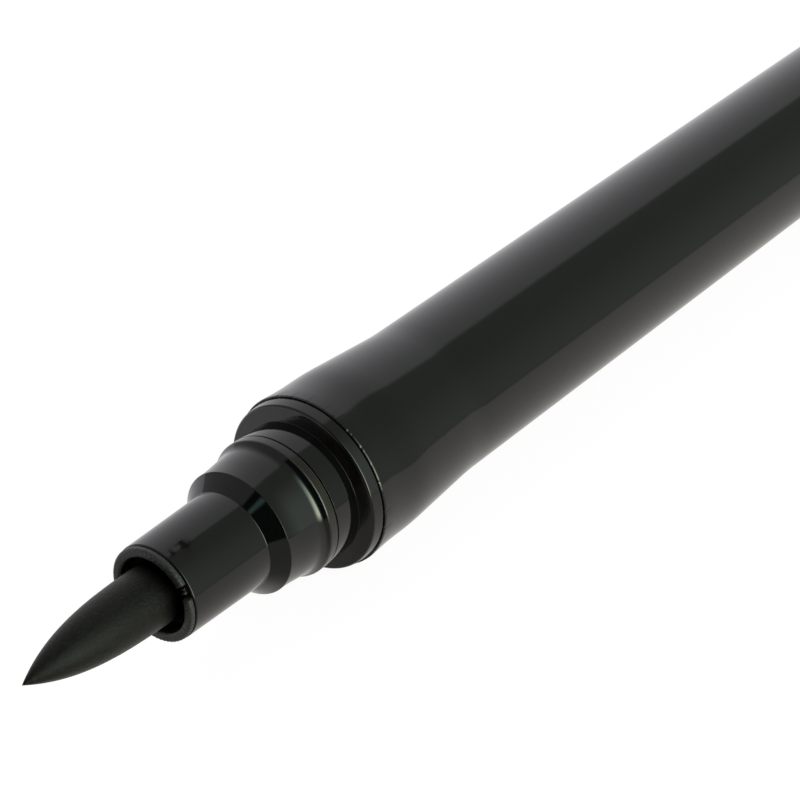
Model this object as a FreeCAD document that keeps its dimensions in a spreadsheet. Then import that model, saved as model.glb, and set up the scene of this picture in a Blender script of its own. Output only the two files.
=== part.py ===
import FreeCAD, Part
import math
import operator
import os
from types import SimpleNamespace

import Sketcher

# A felt-tipped liquid eyeliner pen, lying level with its cap pulled off and laid in line in front of it.
# X runs along the pen from the cap to the tail, Z is up, and the pen rests on Z = 0.
# Every length is in millimetres. Stations along the pen are counted from the barrel's front edge.
SIZES = {
    # Glossy outer barrel, with a flared front end
    "barrel_dia": 10.0,
    "barrel_wall": 0.8,
    "barrel_length": 98.0,
    "front_flare": 0.45,
    "front_length": 3.9,
    "taper_length": 6.1,
    "taper_round": 20.0,
    "rim_flare": 0.12,
    "rim_length": 1.7,
    "edge_round": 0.1,
    "parting_round": 0.06,
    # Stepped nozzle: slim ferrule, sloping shoulder, thicker flared step and the bead that the cap snaps over
    "ferrule_dia": 5.98,
    "ferrule_draft": 0.1,
    "ferrule_length": 6.0,
    "shoulder_length": 0.86,
    "shoulder_height": 0.84,
    "step_length": 2.52,
    "flare_length": 1.95,
    "flare_height": 0.2,
    "flare_round": 3.0,
    "bead_slope": 0.48,
    "bead_length": 0.49,
    "bead_height": 0.295,
    "bead_root_round": 0.4,
    "nozzle_wall": 0.38,
    "nozzle_plug_wall": 0.65,
    "nozzle_plug_length": 5.5,
    # Nose base: collar and flange in front of the barrel, spigot in the barrel and neck in the tank
    "collar_drop": 0.02,
    "collar_length": 1.92,
    "flange_width": 0.95,
    "flange_length": 0.98,
    "flange_rake": 0.16,
    "flange_round": 0.16,
    "flange_flare": 0.08,
    "base_spigot_length": 8.0,
    "base_neck_length": 3.0,
    # Sleeve in the nozzle's mouth: rounded lip, vent notch, and the grip that holds the tip
    "lip_proud": 0.42,
    "lip_inset": 0.05,
    "lip_round": 0.18,
    "mouth_wall": 0.24,
    "mouth_depth": 1.2,
    "mouth_slope": 0.8,
    "sleeve_length": 7.0,
    "notch_width": 0.75,
    "notch_depth": 0.6,
    "notch_angle": 62.0,
    "vent_count": 4,
    "vent_width": 0.5,
    "vent_depth": 0.35,
    # Felt tip
    "tip_dia": 3.64,
    "tip_reach": 10.24,
    "ogive_length": 7.55,
    "nose_round": 0.08,
    "shank_step": 0.3,
    "shank_length": 3.0,
    "tip_socket_depth": 2.0,
    # Relay wick from the tank to the tip
    "wick_dia": 2.0,
    "wick_nose_dia": 1.1,
    "wick_nose_length": 1.8,
    "wick_overhang": 2.5,
    # Comb collector round the wick
    "cup_wall": 0.65,
    "core_wall": 0.55,
    "fin_count": 18,
    "fin_pitch": 0.9,
    "fin_thickness": 0.35,
    "collector_plug_length": 3.0,
    "ink_slit_width": 0.25,
    "air_groove_width": 0.8,
    "air_groove_depth": 0.4,
    # Ink tank, its rear plug and the barrel's tail cap
    "tank_wall": 0.6,
    "tank_plug_depth": 4.0,
    "tank_plug_flange": 1.2,
    "seal_groove_count": 2,
    "seal_groove_width": 0.7,
    "seal_groove_depth": 0.25,
    "plug_core_dia": 4.4,
    "plug_core_depth": 3.6,
    "tail_spigot_length": 5.8,
    "tail_flange": 1.5,
    "tail_wall": 0.9,
    "tail_round": 0.45,
    # Steel mixing ball in the tank
    "ball_dia": 4.0,
    # Cap and its liner
    "cap_length": 44.0,
    "cap_wall": 0.9,
    "cap_taper": 0.45,
    "cap_land_length": 6.0,
    "cap_end_wall": 1.4,
    "cap_end_round": 0.8,
    "cap_seat_depth": 10.0,
    "cap_step": 0.45,
    "cap_apart": 12.6,
    "liner_wall": 0.55,
    "liner_end_wall": 0.8,
    "liner_end_round": 0.4,
    # Clearances
    "press_gap": 0.02,
    "slip_gap": 0.05,
    "tank_gap": 0.1,
    "fin_gap": 0.1,
    "cap_gap": 0.06,
    "liner_gap": 0.16,
    "rim_gap": 0.25,
    "tip_room": 1.2,
    "ball_gap": 0.05,
    "ball_stop_gap": 0.3,
}

COMPUTE = {"+": operator.add, "-": operator.sub, "*": operator.mul, "/": operator.truediv}


class Size:
    """A number that remembers the formula over the sheet's cells that gives it."""

    def __init__(self, value, formula):
        self.value = value
        self.formula = formula

    def join(self, sign, other):
        if not isinstance(other, Size):
            other = Size(other, str(other))
        value = COMPUTE[sign](self.value, other.value)
        return Size(value, f"({self.formula} {sign} {other.formula})")

    def __add__(self, other):
        return self.join("+", other)

    def __sub__(self, other):
        return self.join("-", other)

    def __mul__(self, other):
        return self.join("*", other)

    def __truediv__(self, other):
        return self.join("/", other)


ZERO = Size(0.0, "0")
UNDERSIDE = Size(180.0, "180")
# A cut that takes away less than this, in cubic millimetres, has missed its piece
SMALLEST_CUT = 1e-6


def make_sheet():
    """Write every driving size to the sheet and return the sizes by name."""
    sheet = doc.addObject("Spreadsheet::Sheet", "sizes")
    for row, (name, value) in enumerate(SIZES.items(), start=1):
        sheet.set(f"A{row}", name)
        sheet.set(f"B{row}", str(value))
        sheet.setAlias(f"B{row}", name)
    sheet.recompute()
    return SimpleNamespace(**{name: Size(value, f"sizes.{name}") for name, value in SIZES.items()})


def origin_part(body, role):
    """The body's own origin plane or axis with this role."""
    return next(part for part in body.Origin.OriginFeatures if part.Role == role)


def new_sketch(body, name, plane):
    """An empty sketch on one of the body's origin planes."""
    sketch = body.newObject("Sketcher::SketchObject", name)
    sketch.AttachmentSupport = [(origin_part(body, plane), "")]
    sketch.MapMode = "FlatFace"
    return sketch


def drive(sketch, constraint, size):
    """Add a dimension whose value follows a size."""
    index = sketch.addConstraint(constraint)
    sketch.setExpression(f"Constraints[{index}]", size.formula)


def hold(sketch, kind, edge, point, size):
    """Tie a point's distance from the sketch origin, along X or Y, to a size."""
    axis = {"DistanceX": -2, "DistanceY": -1}[kind]
    if size is ZERO:
        sketch.addConstraint(Sketcher.Constraint("PointOnObject", edge, point, axis))
        return
    drive(sketch, Sketcher.Constraint(kind, -1, 1, edge, point, size.value), size)


def add_lines(sketch, corners):
    """Join corners, which start with a station and a radius, by lines that share their ends."""
    first = sketch.GeometryCount
    places = [FreeCAD.Vector(corner[0].value, corner[1].value, 0) for corner in corners]
    for start, end in zip(places, places[1:]):
        sketch.addGeometry(Part.LineSegment(start, end), False)
    for edge in range(first, sketch.GeometryCount - 1):
        sketch.addConstraint(Sketcher.Constraint("Coincident", edge, 2, edge + 1, 1))


def outline(body, corners):
    """A closed half section through (station, radius) corners. A corner's third size is its rounding."""
    sketch = new_sketch(body, f"{body.Label}_section", "XY_Plane")
    add_lines(sketch, corners + corners[:1])
    sketch.addConstraint(Sketcher.Constraint("Coincident", len(corners) - 1, 2, 0, 1))
    marks = [(edge, 1) for edge in range(len(corners))]
    arcs = []
    for edge, corner in enumerate(corners):
        if len(corner) == 3:
            arc = sketch.GeometryCount
            sketch.fillet(edge, 1, corner[2].value, True, True)
            arcs.append((arc, corner[2]))
            marks[edge] = (arc + 1, 1)
    for (edge, point), corner in zip(marks, corners):
        hold(sketch, "DistanceX", edge, point, corner[0])
        hold(sketch, "DistanceY", edge, point, corner[1])
    for arc, radius in arcs:
        drive(sketch, Sketcher.Constraint("Radius", arc, radius.value), radius)
    return sketch


def place(piece, station, height=ZERO):
    """Put a piece's own zero at a station on the pen's axis, or at a height from that axis."""
    bind(piece, "Placement.Base.x", barrel_front + station)
    bind(piece, "Placement.Base.z", axis_height + height)


def bind(piece, name, size):
    piece.setExpression(name, size.formula)


def new_body(label, station):
    body = doc.addObject("PartDesign::Body", label)
    body.Label = label
    place(body, station)
    pieces.append(body)
    return body


def revolve(body, sketch):
    """Turn a half section a full turn about the pen's axis."""
    turn = body.newObject("PartDesign::Revolution", f"{body.Label}_turn")
    turn.Profile = sketch
    turn.ReferenceAxis = (sketch, ["H_Axis"])
    turn.Angle = 360
    doc.recompute()
    return turn


def turned(label, station, corners):
    """A turned piece: its outline's corners count from its own front end."""
    body = new_body(label, station)
    revolve(body, outline(body, corners))
    return body


def slot(body, name, width, inner, outer, start, length, angle=ZERO):
    """Cut a radial slot along the axis, at an angle about it from the top."""
    before = body.Shape.Volume
    sketch = new_sketch(body, f"{body.Label}_{name}", "YZ_Plane")
    half = width.value / 2
    low = inner.value
    high = outer.value
    sides = [(-half, low), (half, low), (half, high), (-half, high)]
    places = [FreeCAD.Vector(across, up, 0) for across, up in sides]
    for corner, spot in enumerate(places):
        sketch.addGeometry(Part.LineSegment(spot, places[(corner + 1) % 4]), False)
    for corner in range(4):
        sketch.addConstraint(Sketcher.Constraint("Coincident", corner, 2, (corner + 1) % 4, 1))
    for side in (1, 3):
        sketch.addConstraint(Sketcher.Constraint("Vertical", side))
    sketch.addConstraint(Sketcher.Constraint("Horizontal", 2))
    sketch.addConstraint(Sketcher.Constraint("Symmetric", 0, 1, 0, 2, -2))
    drive(sketch, Sketcher.Constraint("DistanceX", 0, 1, 0, 2, width.value), width)
    hold(sketch, "DistanceY", 0, 1, inner)
    hold(sketch, "DistanceY", 2, 1, outer)
    bind(sketch, "AttachmentOffset.Base.z", start)
    bind(sketch, "AttachmentOffset.Rotation.Angle", angle)
    cut = body.newObject("PartDesign::Pocket", f"{body.Label}_{name}_cut")
    cut.Profile = sketch
    cut.Reversed = True
    bind(cut, "Length", length)
    doc.recompute()
    if body.Shape.Volume > before - SMALLEST_CUT:
        raise RuntimeError(f"{body.Label}: {name} cuts nothing")
    return cut


def make_barrel():
    front = barrel_radius + d.front_flare
    corners = [
        (ZERO, barrel_bore),
        (ZERO, rim_radius, d.edge_round),
        (d.rim_length, front),
        (d.front_length, front, d.taper_round),
        (d.front_length + d.taper_length, barrel_radius, d.taper_round),
        (d.barrel_length, barrel_radius, d.edge_round),
        (d.barrel_length, barrel_bore),
    ]
    turned("barrel", ZERO, corners)


def make_nose_base():
    flange_back = d.collar_length + d.flange_length
    spigot_back = flange_back + d.base_spigot_length
    neck_back = spigot_back + d.base_neck_length
    spigot = barrel_bore - d.press_gap
    neck = tank_bore - d.press_gap
    socket = nozzle_plug + d.press_gap
    flange = collar_radius + d.flange_width
    corners = [
        (ZERO, socket),
        (ZERO, collar_radius, d.parting_round),
        (d.collar_length, collar_radius),
        (d.collar_length + d.flange_rake, flange, d.flange_round),
        (flange_back, flange + d.flange_flare, d.edge_round),
        (flange_back, spigot),
        (spigot_back, spigot),
        (spigot_back, neck),
        (neck_back, neck),
        (neck_back, feed_bore),
        (d.nozzle_plug_length, feed_bore),
        (d.nozzle_plug_length, socket),
    ]
    turned("nose_base", ZERO - d.flange_length - d.collar_length, corners)


def make_nozzle():
    shoulder_back = d.ferrule_length + d.shoulder_length
    bead_foot = shoulder_back + d.step_length
    plug_back = nozzle_length + d.nozzle_plug_length
    corners = [
        (ZERO, nozzle_bore),
        (ZERO, d.ferrule_dia / 2, d.edge_round),
        (d.ferrule_length, ferrule_back),
        (shoulder_back, step_front, d.edge_round),
        (bead_foot - d.flare_length, step_front, d.flare_round),
        (bead_foot, step_back, d.bead_root_round),
        (bead_foot + d.bead_slope, bead_radius, d.edge_round),
        (nozzle_length, bead_radius, d.parting_round),
        (nozzle_length, nozzle_plug),
        (plug_back, nozzle_plug),
        (plug_back, feed_bore),
        (d.sleeve_length, feed_bore),
        (d.sleeve_length, nozzle_bore),
    ]
    turned("nozzle", mouth, corners)


def make_tip_sleeve():
    """A sleeve with a rounded lip, four air vents along its grip and one notch through the lip."""
    back = d.lip_proud + d.sleeve_length
    lip = d.ferrule_dia / 2 - d.lip_inset
    tube = nozzle_bore - d.press_gap
    grip = tip_radius + d.press_gap
    corners = [
        (ZERO, mouth_radius, d.lip_round),
        (ZERO, lip, d.lip_round),
        (d.lip_proud, lip),
        (d.lip_proud, tube),
        (back, tube),
        (back, grip),
        (d.mouth_depth + d.mouth_slope, grip),
        (d.mouth_depth, mouth_radius),
    ]
    sleeve = turned("tip_sleeve", mouth - d.lip_proud, corners)
    vent = slot(sleeve, "vent", d.vent_width, tip_radius, grip + d.vent_depth, ZERO, back)
    vents = sleeve.newObject("PartDesign::PolarPattern", "tip_sleeve_vents")
    vents.Originals = [vent]
    vents.Axis = (origin_part(sleeve, "X_Axis"), [""])
    vents.Angle = 360
    bind(vents, "Occurrences", d.vent_count)
    sleeve.Tip = vents
    doc.recompute()
    ferrule = lip + d.lip_inset
    slot(sleeve, "notch", d.notch_width, tip_radius, ferrule, ZERO, d.notch_depth, d.notch_angle)


def make_felt_tip():
    """A pointed tip whose flank is one arc, tangent to the round nose and to the straight body."""
    body_back = d.tip_reach + d.sleeve_length
    tip_back = body_back + d.shank_length
    shank = tip_radius - d.shank_step
    socket = d.wick_nose_dia / 2 + d.slip_gap
    socket_end = tip_back - d.tip_socket_depth
    corners = [
        (d.ogive_length, tip_radius),
        (body_back, tip_radius),
        (body_back, shank),
        (tip_back, shank),
        (tip_back, socket),
        (socket_end, socket),
        (socket_end, ZERO),
        (ZERO, ZERO),
    ]
    tip = new_body("felt_tip", mouth - d.tip_reach)
    sketch = new_sketch(tip, "felt_tip_section", "XY_Plane")
    length = d.ogive_length.value
    radius = tip_radius.value
    nose = d.nose_round.value
    flank = (length * length + radius * radius) / (2 * radius)
    facing = FreeCAD.Vector(0, 0, 1)
    nose_circle = Part.Circle(FreeCAD.Vector(nose, 0, 0), facing, nose)
    flank_circle = Part.Circle(FreeCAD.Vector(length, radius - flank, 0), facing, flank)
    top = math.pi / 2
    flank_end = flank_circle.parameter(FreeCAD.Vector(nose, nose, 0))
    sketch.addGeometry(Part.ArcOfCircle(nose_circle, flank_end, math.pi), False)
    sketch.addGeometry(Part.ArcOfCircle(flank_circle, top, flank_end), False)
    add_lines(sketch, corners)
    axis_line = sketch.GeometryCount - 1
    for edge, (station, height) in enumerate(corners[:-1], start=2):
        hold(sketch, "DistanceX", edge, 1, station)
        hold(sketch, "DistanceY", edge, 1, height)
    sketch.addConstraint(Sketcher.Constraint("Coincident", axis_line, 2, 0, 2))
    sketch.addConstraint(Sketcher.Constraint("Coincident", 0, 2, -1, 1))
    sketch.addConstraint(Sketcher.Constraint("PointOnObject", 0, 3, -1))
    drive(sketch, Sketcher.Constraint("Radius", 0, nose), d.nose_round)
    sketch.addConstraint(Sketcher.Constraint("Tangent", 1, 1, 2, 1))
    sketch.addConstraint(Sketcher.Constraint("Tangent", 0, 1, 1, 2))
    revolve(tip, sketch)


def make_relay_wick():
    wick = d.wick_dia / 2
    nose = d.wick_nose_dia / 2
    front = shank_back - d.wick_nose_length
    length = wick_back - front
    corners = [
        (ZERO, ZERO),
        (ZERO, nose, d.edge_round),
        (d.wick_nose_length, nose),
        (d.wick_nose_length, wick),
        (length, wick, d.edge_round),
        (length, ZERO),
    ]
    turned("relay_wick", front, corners)


def make_collector():
    """A moulded comb: a cup for the tip's shank, a bored core with thin fins, and a plug for the tank."""
    cup = tip_radius - d.shank_step + d.slip_gap
    bore = d.wick_dia / 2 + d.slip_gap
    core = bore + d.core_wall
    fin = tank_bore - d.fin_gap
    plug = tank_bore - d.press_gap
    comb_front = base_back - sleeve_back
    comb_back = comb_front + d.fin_count * d.fin_pitch
    back = comb_back + d.collector_plug_length
    cup_floor = d.shank_length + d.slip_gap
    corners = [
        (ZERO, cup),
        (ZERO, feed_neck),
        (comb_front, feed_neck),
        (comb_front, core),
        (comb_back, core),
        (comb_back, plug),
        (back, plug, d.edge_round),
        (back, bore),
        (cup_floor, bore),
        (cup_floor, cup),
    ]
    collector = turned("collector", sleeve_back, corners)
    fin_corners = [
        (comb_front, bore),
        (comb_front, fin),
        (comb_front + d.fin_thickness, fin),
        (comb_front + d.fin_thickness, bore),
    ]
    first_fin = revolve(collector, outline(collector, fin_corners))
    fins = collector.newObject("PartDesign::LinearPattern", "collector_fins")
    fins.Originals = [first_fin]
    fins.Direction = (origin_part(collector, "X_Axis"), [""])
    bind(fins, "Length", (d.fin_count - 1) * d.fin_pitch)
    bind(fins, "Occurrences", d.fin_count)
    collector.Tip = fins
    doc.recompute()
    groove_floor = feed_neck - d.air_groove_depth
    channel_floor = core - d.core_wall / 2
    comb_length = comb_back - comb_front
    slot(collector, "air_groove", d.air_groove_width, groove_floor, plug, ZERO, comb_front)
    slot(collector, "air_channel", d.air_groove_width, channel_floor, plug, comb_front, comb_length)
    slot(collector, "ink_slit", d.ink_slit_width, bore / 2, plug, comb_front, back - comb_front, UNDERSIDE)


def make_ink_tank():
    length = tank_back - d.base_spigot_length
    corners = [
        (ZERO, tank_bore),
        (ZERO, tank_radius),
        (length, tank_radius),
        (length, tank_bore),
    ]
    turned("ink_tank", d.base_spigot_length, corners)


def make_tank_plug():
    """A plug with shallow grooves, which leave one more sealing land than there are grooves."""
    land = tank_bore - d.press_gap
    floor = land - d.seal_groove_depth
    grooves = d.seal_groove_count * d.seal_groove_width
    land_width = (d.tank_plug_depth - grooves) / (d.seal_groove_count + 1)
    back = d.tank_plug_depth + d.tank_plug_flange
    core = d.plug_core_dia / 2
    core_end = back - d.plug_core_depth
    groove = land_width
    corners = [(ZERO, ZERO), (ZERO, land, d.edge_round)]
    for _ in range(d.seal_groove_count.value):
        groove_end = groove + d.seal_groove_width
        corners += [(groove, land), (groove, floor), (groove_end, floor), (groove_end, land)]
        groove = groove_end + land_width
    corners += [
        (d.tank_plug_depth, land),
        (d.tank_plug_depth, tank_radius),
        (back, tank_radius),
        (back, core),
        (core_end, core),
        (core_end, ZERO),
    ]
    turned("tank_plug", tank_back - d.tank_plug_depth, corners)


def make_tail_cap():
    spigot = barrel_bore - d.press_gap
    back = d.tail_spigot_length + d.tail_flange
    corners = [
        (ZERO, spigot - d.tail_wall),
        (ZERO, spigot),
        (d.tail_spigot_length, spigot),
        (d.tail_spigot_length, barrel_radius, d.edge_round),
        (back, barrel_radius, d.tail_round),
        (back, ZERO),
        (d.tail_spigot_length, ZERO),
        (d.tail_spigot_length, spigot - d.tail_wall),
    ]
    turned("tail_cap", d.barrel_length - d.tail_spigot_length, corners)


def make_mixing_ball():
    """A ball on the floor of the tank, just behind the wick's end."""
    radius = d.ball_dia / 2
    ball = doc.addObject("Part::Sphere", "mixing_ball")
    ball.Label = "mixing_ball"
    bind(ball, "Radius", radius)
    place(ball, wick_back + d.ball_stop_gap + radius, radius + d.ball_gap - tank_bore)
    pieces.append(ball)


def make_outer_cap():
    land_front = d.cap_length - d.cap_land_length
    seat = d.cap_length - d.cap_seat_depth
    outside = cap_bore + d.cap_wall
    inside = cap_bore - d.cap_step
    corners = [
        (ZERO, ZERO),
        (ZERO, outside - d.cap_taper, d.cap_end_round),
        (land_front, outside),
        (d.cap_length, outside, d.edge_round),
        (d.cap_length, cap_bore, d.edge_round),
        (seat, cap_bore),
        (seat, inside),
        (d.cap_end_wall, inside),
        (d.cap_end_wall, ZERO),
    ]
    turned("outer_cap", cap_front, corners)


def make_inner_cap():
    """The liner follows the nozzle's steps with a small gap, and its flange seats on the cap's inner step."""
    rim = step_back + d.slip_gap
    seal = step_front + d.slip_gap
    bore = ferrule_back + d.liner_gap
    tube = bore + d.liner_wall
    flange = cap_bore - d.press_gap
    bead_depth = d.collar_length + d.bead_length + d.bead_slope
    rim_depth = bead_depth + d.rim_gap
    step_depth = bead_depth + d.step_length + d.slip_gap
    end_depth = d.collar_length + nozzle_length + d.tip_reach + d.tip_room
    length = end_depth + d.liner_end_wall - rim_depth
    seat = length + rim_depth - d.cap_seat_depth
    flare_front = length + d.rim_gap - d.flare_length
    slope_back = length + rim_depth - step_depth
    corners = [
        (ZERO, ZERO),
        (ZERO, tube, d.liner_end_round),
        (seat, tube),
        (seat, flange),
        (length, flange),
        (length, rim),
        (flare_front, seal),
        (slope_back, seal),
        (slope_back - d.shoulder_length, bore),
        (d.liner_end_wall, bore),
        (d.liner_end_wall, ZERO),
    ]
    turned("inner_cap", cap_front + d.cap_length - rim_depth - length, corners)


def check_and_write():
    """Stop on any failed feature, then write each sub-part's solid to its own file."""
    doc.recompute()
    for item in doc.Objects:
        if "Invalid" in item.State or "Error" in item.State:
            raise RuntimeError(f"{item.Label} failed: {item.State}")
    for piece in pieces:
        if piece.Shape.isNull() or not piece.Shape.isValid() or len(piece.Shape.Solids) != 1:
            raise RuntimeError(f"{piece.Label} is not one valid solid")
        piece.Shape.exportStep(f"parts/{piece.Label}.step")


os.makedirs("parts", exist_ok=True)
doc = FreeCAD.newDocument("eyeliner_pen")
pieces = []
d = make_sheet()

# Radii and stations that several pieces share
barrel_radius = d.barrel_dia / 2
barrel_bore = barrel_radius - d.barrel_wall
rim_radius = barrel_radius + d.front_flare + d.rim_flare
tank_radius = barrel_bore - d.tank_gap
tank_bore = tank_radius - d.tank_wall
ferrule_back = d.ferrule_dia / 2 + d.ferrule_draft
step_front = ferrule_back + d.shoulder_height
step_back = step_front + d.flare_height
bead_radius = step_back + d.bead_height
collar_radius = bead_radius - d.collar_drop
nozzle_bore = d.ferrule_dia / 2 - d.nozzle_wall
mouth_radius = nozzle_bore - d.mouth_wall
tip_radius = d.tip_dia / 2
feed_neck = tip_radius - d.shank_step + d.slip_gap + d.cup_wall
feed_bore = feed_neck + d.slip_gap
nozzle_plug = feed_bore + d.nozzle_plug_wall
cap_bore = bead_radius + d.cap_gap
nozzle_length = d.ferrule_length + d.shoulder_length + d.step_length + d.bead_slope + d.bead_length
mouth = ZERO - d.flange_length - d.collar_length - nozzle_length
sleeve_back = mouth + d.sleeve_length
shank_back = sleeve_back + d.shank_length
base_back = d.base_spigot_length + d.base_neck_length
collector_back = base_back + d.fin_count * d.fin_pitch + d.collector_plug_length
wick_back = collector_back + d.wick_overhang
tank_back = d.barrel_length - d.tail_spigot_length - d.tank_plug_flange
pen_front = mouth - d.tip_reach
pen_back = d.barrel_length + d.tail_flange
cap_front = pen_front - d.cap_apart - d.cap_length

# The frame's zero lies under the middle of the whole layout
barrel_front = ZERO - (pen_back + cap_front) / 2
axis_height = rim_radius

make_barrel()
make_nose_base()
make_nozzle()
make_tip_sleeve()
make_felt_tip()
make_relay_wick()
make_collector()
make_ink_tank()
make_tank_plug()
make_tail_cap()
make_mixing_ball()
make_outer_cap()
make_inner_cap()
check_and_write()
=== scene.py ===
import math
from functools import partial

import bpy
import numpy as np
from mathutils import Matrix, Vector


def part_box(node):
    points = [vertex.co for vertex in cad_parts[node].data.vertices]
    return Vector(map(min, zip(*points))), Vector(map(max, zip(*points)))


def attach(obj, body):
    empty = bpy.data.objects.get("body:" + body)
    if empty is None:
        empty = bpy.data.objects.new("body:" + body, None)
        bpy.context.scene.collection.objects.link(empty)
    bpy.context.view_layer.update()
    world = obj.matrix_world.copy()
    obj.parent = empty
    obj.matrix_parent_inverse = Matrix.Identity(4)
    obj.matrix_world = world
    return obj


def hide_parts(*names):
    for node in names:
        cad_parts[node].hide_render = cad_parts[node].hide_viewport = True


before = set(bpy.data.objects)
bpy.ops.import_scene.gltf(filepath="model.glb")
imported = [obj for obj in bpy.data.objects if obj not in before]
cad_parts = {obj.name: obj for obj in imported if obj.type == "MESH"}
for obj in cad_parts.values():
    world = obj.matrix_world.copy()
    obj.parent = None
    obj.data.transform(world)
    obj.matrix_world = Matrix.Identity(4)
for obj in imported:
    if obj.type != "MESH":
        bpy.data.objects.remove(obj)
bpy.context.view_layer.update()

bl_info = {
    "name": "Liquid Eyeliner Pen",
    "version": (1, 0, 0),
    "blender": (4, 5, 0),
    "location": "3D View > Sidebar > Eyeliner",
    "description": "Dresses the packed pen with smooth turned surfaces, finishes and a white studio",
    "category": "Object",
}

MM = 0.001
BARREL_LOW, BARREL_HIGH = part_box("barrel")
AXIS_HEIGHT = (BARREL_LOW.z + BARREL_HIGH.z) / 2
ARC_STEPS = 10
SAME_POINT = 1e-9
TURN = 2 * math.pi

# Waves of wear round the pen, in counts that share no factor, so that no two places look alike. Chips are
# fine nicks, the lip is worn most below, and the felt's waves turn by radians along its taper.
NICK_WAVES = (61, 29)
CHIP_WAVES = (113, 3)
CHIP_SHARE = 0.6
LIP_WAVES = (97, 31)
LIP_WEAR_BELOW = 4
FUZZ_WAVES = (31, 17)
FUZZ_RUNS = (900, -340)

# Rows of the tip's flank, and how much they crowd towards the point.
FLANK_ROWS = 120
FLANK_CROWDING = 1.6

# Smudges on the ferrule: millimetres from its mouth, degrees from the top and reach in millimetres.
SMUDGES = ((1.4, -18.0, 0.45), (0.5, -17.0, 0.3))

# Crumbs in the notch: millimetres from its middle and share of the full height.
CRUMBS = ((-0.1, 1.0), (0.14, 0.8))

# Shades of wear and of dried liquid, and what is the same all over a finish.
RUBBED_BROWN = (0.024, 0.016, 0.011)
RUBBED_FADE = 0.06 * MM
FLANGE_RUB = 0.4
DRIED_BLACK = (0.008, 0.006, 0.005)
SPECK_GREY = (0.036, 0.032, 0.026)
STAIN_GREY = (0.16, 0.16, 0.17)
WET_BLACK = (0.05, 0.05, 0.055)
HARD = {"IOR": 1.5}
NAP = {"IOR": 1.27, "Sheen Weight": 0.2, "Sheen Roughness": 0.4, "Sheen Tint": (1.0, 0.93, 0.88, 1.0)}

# Soft edges of the surroundings, as turns about the pen's axis in degrees from the viewer's side upwards.
ROOM_FOOT = (-11.0, -8.0)
ROOM_TOP = (98.0, 92.0)
ROOM_HEIGHT = (75.0, 0.0)
SKIRTING_FOOT = (-11.0, -9.0)
SKIRTING_TOP = (-6.0, -8.0)
SKIRTING_SHARE = 0.2
WINDOW_SILL = (-11.0, 5.0)
SPREAD_TOP = (80.0, 20.0)
HORIZON = (-6.0, 0.0)
BEHIND_ABOVE = (100.0, 165.0)
BEHIND_BELOW = (-110.0, -165.0)
OPEN_BEHIND = (-125.0, -160.0)

# Soft edges of the surroundings along the pen, from -1 in front of the tip to 1 behind the tail.
ROOM_END = (-0.42, -0.2)
WINDOW_FRONT = (-0.26, -0.14)
WINDOW_BACK = (0.32, -0.12)
WINDOW_LEAN = 0.06
SPREAD_BACK = (0.6, 0.4)
OPEN_ABOVE = (-0.1, 0.5)
OPEN_BELOW = (-0.35, 0.0)
GLINT_HEADING = (-0.766, -0.19, 0.614)
GLINT_REACH = (0.11, 0.02)


def prop(kind, about, **settings):
    """A property of this kind that still lacks its name."""
    return partial(getattr(bpy.props, kind + "Property"), description=about, **settings)


def length(about, size):
    """A length, given in millimetres and kept in metres."""
    return prop("Float", about, default=size * MM, min=0.0, precision=5, unit="LENGTH")


def amount(about, value, top=1.0):
    return prop("Float", about, default=value, min=0.0, max=top)


def angle(about, degrees):
    return prop("Float", about, default=math.radians(degrees), subtype="ANGLE")


def count(about, value, least, most):
    return prop("Int", about, default=value, min=least, max=most)


def colour(about, *shade):
    return prop("FloatVector", about, default=shade, min=0.0, max=1.0, subtype="COLOR")


def place(about, *spot):
    """A point in the pen's frame, given in millimetres and kept in metres."""
    return prop("FloatVector", about, default=[each * MM for each in spot], subtype="TRANSLATION")


def part(group):
    return prop("Pointer", group.__doc__, type=group)


def named(group):
    """Make the properties of a group, each with the name that its attribute spells."""
    for attribute, make in group.__annotations__.items():
        group.__annotations__[attribute] = make(name=attribute.replace("_", " ").title())
    return group


@named
class BarrelSizes(bpy.types.PropertyGroup):
    """Sizes of the barrel and of the plug in its tail."""

    wall: length("Thickness of the barrel's wall", 0.8)
    radius: length("Radius of the straight part of the barrel", 5.0)
    front_flare: length("How far the front end stands out from the straight part", 0.45)
    front_length: length("Length of the flared front end", 3.9)
    taper_length: length("Length of the slope down to the straight part", 6.1)
    taper_round: length("Rounding at both ends of the slope", 20.0)
    rim_length: length("Length over which the front edge swells", 1.7)
    rim_blend: length("Rounding where the swelling starts", 22.0)
    rim_nick: length("Depth of the nicks in the front edge", 0.04)
    edge_round: length("Rounding of the barrel's edges", 0.1)
    bevel_length: length("Length of the fine bevel on the front edge", 0.1)
    bevel_drop: length("Height of the fine bevel on the front edge", 0.03)
    spigot_length: length("Length of the tail plug inside the barrel", 5.8)
    tail_wall: length("Wall of the tail plug's spigot", 0.9)
    tail_round: length("Rounding of the tail's end", 0.45)
    press_gap: length("Gap between pieces that are pressed together", 0.02)


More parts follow.
